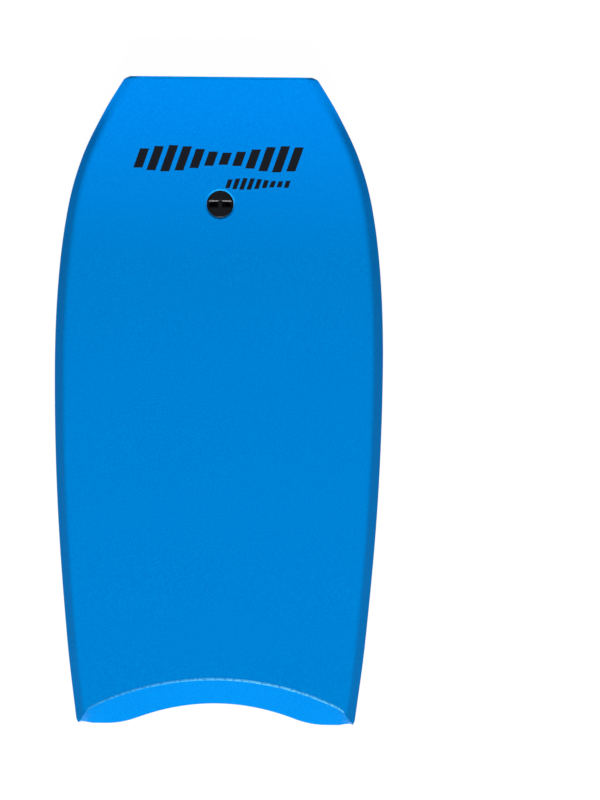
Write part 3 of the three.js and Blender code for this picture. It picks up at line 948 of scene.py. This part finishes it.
def combine(body, changes):
    """Cuts tools out of a body or joins them to it: (operation, tool) pairs. The tools are used up."""
    for operation, tool in changes:
        for thing in (body, tool):
            if thing.name not in bpy.context.scene.collection.objects:
                bpy.context.scene.collection.objects.link(thing)
        change = body.modifiers.new("change", "BOOLEAN")
        change.operation = operation
        change.object = tool
        change.solver = "EXACT"
        bpy.context.view_layer.update()
        changed = body.evaluated_get(bpy.context.evaluated_depsgraph_get())
        result = bpy.data.meshes.new_from_object(changed)
        body.modifiers.clear()
        body.data = result
        bpy.data.objects.remove(tool)
    body.data.name = body.name


def plug_place():
    """The plug's own frame in the board's."""
    deck = float(slick_height(PLUG_FROM_NOSE) + BOARD_AT_PLUG)
    place = Matrix.Translation((0, LENGTH / 2 - PLUG_FROM_NOSE, deck - PLUG_SINK))
    return place @ Euler((PLUG_TILT, 0, 0)).to_matrix().to_4x4()


def plug_piece(body, node, material, least_turn):
    """Gives a plug piece its material, place and rounded edges."""
    body.data.materials.clear()
    body.data.materials.append(material)
    body.data.transform(plug_place())
    smooth(body.data)
    soften(body, PLASTIC_EDGE, segments=2, least_turn=least_turn)
    finished(body, node)


def slot_pocket():
    """The deep part of the slot, with ramps at both ends."""
    half = SLOT_LENGTH / 2
    outline = [
        (-half, OVER), (-half, -SLOT_RAMP_TOP), (-SLOT_FLOOR / 2, -SLOT_DEPTH),
        (SLOT_FLOOR / 2, -SLOT_DEPTH), (half, -SLOT_RAMP_TOP), (half, OVER),
    ]
    return pushed("pocket", outline, "Y", SLOT_WIDTH)


def slot_mouth():
    """The slot's flared edges along both sides."""
    half = SLOT_WIDTH / 2
    mouth = SLOT_MOUTH / 2
    top = mouth + (mouth - half) * OVER / SLOT_CHAMFER
    outline = [
        (-half, -SLOT_CHAMFER), (half, -SLOT_CHAMFER), (mouth, 0), (top, OVER), (-top, OVER), (-mouth, 0),
    ]
    return pushed("mouth", outline, "X", SLOT_LENGTH + 2 * CUT_EDGE)


def bridge():
    """The bar across the slot that a leash's string is looped round."""
    side = BRIDGE_WIDTH / 2
    top = -BRIDGE_TOP
    bottom = top - BRIDGE_THICKNESS
    outline = [
        (-side, top - BRIDGE_CHAMFER), (-side + BRIDGE_CHAMFER, top), (side - BRIDGE_CHAMFER, top),
        (side, top - BRIDGE_CHAMFER), (side - BRIDGE_TAPER, bottom), (-side + BRIDGE_TAPER, bottom),
    ]
    return pushed("bridge", outline, "Y", SLOT_MOUTH + BRIDGE_ROOTS)


def plug_head(material):
    """The deck side's flange with its slot and bridge, the cup under it and the stem."""
    rim = [(HEAD_RADIUS - inwards, -down) for inwards, down in HEAD_RIM]
    body = turned("plug_flange", [
        (0, 0), *rim, (HEAD_RADIUS, -HEAD_FLANGE), (CUP_RADIUS, -HEAD_FLANGE), (CUP_RADIUS, -CUP_DEPTH),
        (FOOT_RADIUS, -FOOT_DEPTH), (STEM_RADIUS, -FOOT_DEPTH), (STEM_RADIUS, STEM_CHAMFER - STEM_END),
        (STEM_RADIUS - STEM_CHAMFER, -STEM_END), (0, -STEM_END),
    ])
    combine(body, [("DIFFERENCE", slot_pocket()), ("DIFFERENCE", slot_mouth()), ("UNION", bridge())])
    plug_piece(body, "plug_head", material, least_turn=20)


def spanner_pit(angle):
    """A blind hole with a flared mouth in the nut's dished face."""
    pit = turned("pit", [
        (0, SPANNER_PIT_DEPTH), (SPANNER_PIT_RADIUS * PIT_SHOULDER, SPANNER_PIT_DEPTH * PIT_SHOULDER),
        (SPANNER_PIT_RADIUS, PIT_FLARE_FROM), (SPANNER_PIT_RADIUS + PIT_FLARE, -OVER), (0, -OVER),
    ], 32)
    x = SPANNER_PIT_PITCH * math.cos(angle)
    y = SPANNER_PIT_PITCH * math.sin(angle)
    pit.data.transform(Matrix.Translation((x, y, NUT_FACE + NUT_DISH)))
    return pit


def plug_nut(material):
    """The slick side's dished flange with two spanner pits, and the sleeve that the stem screws into."""
    rim = [(NUT_RADIUS - inwards, NUT_FACE + up) for inwards, up in NUT_RIM]
    flange_top = NUT_FACE + NUT_FLANGE
    sleeve_top = NUT_FACE + SLEEVE_HEIGHT
    body = turned("plug_screw_nut", [
        (0, NUT_FACE + NUT_DISH), *rim, (NUT_RADIUS, flange_top), (SLEEVE_RADIUS, flange_top),
        (SLEEVE_RADIUS, sleeve_top), (SLEEVE_BORE, sleeve_top), (SLEEVE_BORE, flange_top), (0, flange_top),
    ])
    angles = (SPANNER_PIT_TURN, SPANNER_PIT_TURN + math.pi)
    combine(body, [("DIFFERENCE", spanner_pit(angle)) for angle in angles])
    plug_piece(body, "plug_nut", material, least_turn=32)


# ---------------------------------------------------------------- camera and studio


def glowing(name, strength, matte_share):
    """A white stage material that gives most of its brightness itself, so that shadows on it stay faint.
    It can be seen from its front only."""
    material = bpy.data.materials.new(name)
    material.use_nodes = True
    nodes = material.node_tree.nodes
    links = material.node_tree.links
    nodes.clear()
    glow = nodes.new("ShaderNodeEmission")
    glow.inputs["Color"].default_value = (1, 1, 1, 1)
    glow.inputs["Strength"].default_value = strength
    matte = nodes.new("ShaderNodeBsdfDiffuse")
    matte.inputs["Color"].default_value = (matte_share, matte_share, matte_share, 1)
    both = nodes.new("ShaderNodeAddShader")
    links.new(glow.outputs[0], both.inputs[0])
    links.new(matte.outputs[0], both.inputs[1])
    clear = nodes.new("ShaderNodeBsdfTransparent")
    side = nodes.new("ShaderNodeNewGeometry")
    one_sided = nodes.new("ShaderNodeMixShader")
    links.new(side.outputs["Backfacing"], one_sided.inputs[0])
    links.new(both.outputs[0], one_sided.inputs[1])
    links.new(clear.outputs[0], one_sided.inputs[2])
    output = nodes.new("ShaderNodeOutputMaterial")
    links.new(one_sided.outputs[0], output.inputs[0])
    return material


def only_seen(thing):
    """The stage is there to look at: it throws no light or shade on the board."""
    thing.visible_diffuse = False
    thing.visible_glossy = False
    thing.visible_transmission = False
    thing.visible_shadow = False


def stage():
    """A white floor under the board and a white dome round it."""
    at_floor = (0, 0, -FLOOR_DROP)
    bpy.ops.mesh.primitive_circle_add(vertices=64, radius=STUDIO_RADIUS, fill_type="NGON", location=at_floor)
    floor = bpy.context.object
    floor.name = "studio_floor"
    floor.data.materials.append(glowing("studio_floor", FLOOR_GLOW, FLOOR_MATTE))
    only_seen(floor)
    bpy.ops.mesh.primitive_uv_sphere_add(segments=48, ring_count=24, radius=STUDIO_RADIUS + DOME_GAP)
    dome = bpy.context.object
    dome.name = "studio_dome"
    dome.data.flip_normals()
    dome.data.materials.append(glowing("studio_dome", 1.0, 0.0))
    only_seen(dome)


def air():
    """White light from all round, stronger from below, as a white floor gives."""
    world = bpy.data.worlds.new("studio_air")
    bpy.context.scene.world = world
    world.use_nodes = True
    nodes = world.node_tree.nodes
    links = world.node_tree.links
    place = nodes.new("ShaderNodeTexCoord")
    parts = nodes.new("ShaderNodeSeparateXYZ")
    links.new(place.outputs["Generated"], parts.inputs[0])
    fade = nodes.new("ShaderNodeMapRange")
    links.new(parts.outputs["Z"], fade.inputs["Value"])
    fade.inputs["From Min"].default_value = -AIR_BLEND
    fade.inputs["From Max"].default_value = AIR_BLEND
    fade.inputs["To Min"].default_value = AIR_BELOW
    fade.inputs["To Max"].default_value = AIR_ABOVE
    links.new(fade.outputs[0], nodes["Background"].inputs["Strength"])
    nodes["Background"].inputs["Color"].default_value = (1, 1, 1, 1)


def sunlight(name, elevation, strength, angle):
    """A distant soft light from the tail's side. A negative elevation lights the board from below."""
    sun = bpy.data.lights.new(name, "SUN")
    sun.energy = strength
    sun.angle = angle
    lamp = bpy.data.objects.new(name, sun)
    bpy.context.scene.collection.objects.link(lamp)
    from_where = Vector((0, -math.cos(elevation), math.sin(elevation)))
    lamp.rotation_euler = from_where.to_track_quat("Z", "Y").to_euler()


def studio():
    scene = bpy.context.scene
    scene.view_settings.view_transform = "Standard"
    scene.view_settings.look = "None"
    stage()
    air()
    sunlight("key", KEY_ELEVATION, KEY_STRENGTH, KEY_ANGLE)
    sunlight("floor_bounce", BOUNCE_ELEVATION, BOUNCE_STRENGTH, BOUNCE_ANGLE)


def camera():
    """High above the board, looking straight down on it with a little roll."""
    low, high = (Vector(corner) for corner in cad_box)
    middle = (low + high) / 2
    lens = bpy.data.cameras.new("camera")
    lens.sensor_width = SENSOR
    lens.lens = SENSOR * CAMERA_HEIGHT / VIEW_HEIGHT
    lens.clip_end = CLIP_END
    eye = bpy.data.objects.new("camera", lens)
    bpy.context.scene.collection.objects.link(eye)
    eye.rotation_euler = (0, 0, CAMERA_ROLL)
    shift = CAMERA_SHIFT.copy()
    shift.rotate(Matrix.Rotation(CAMERA_ROLL, 2))
    eye.location = (middle.x + shift.x, middle.y + shift.y, middle.z + CAMERA_HEIGHT)
    bpy.context.scene.camera = eye


camera()
studio()
deck_sheet()
slick_sheet()
backing_sheet()
rail_strips()
tail_sheet()
nose_strip()
plug_material = plug_plastic()
plug_head(plug_material)
plug_nut(plug_material)
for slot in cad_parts["foam_core"].material_slots:
    slot.material = core_beads()
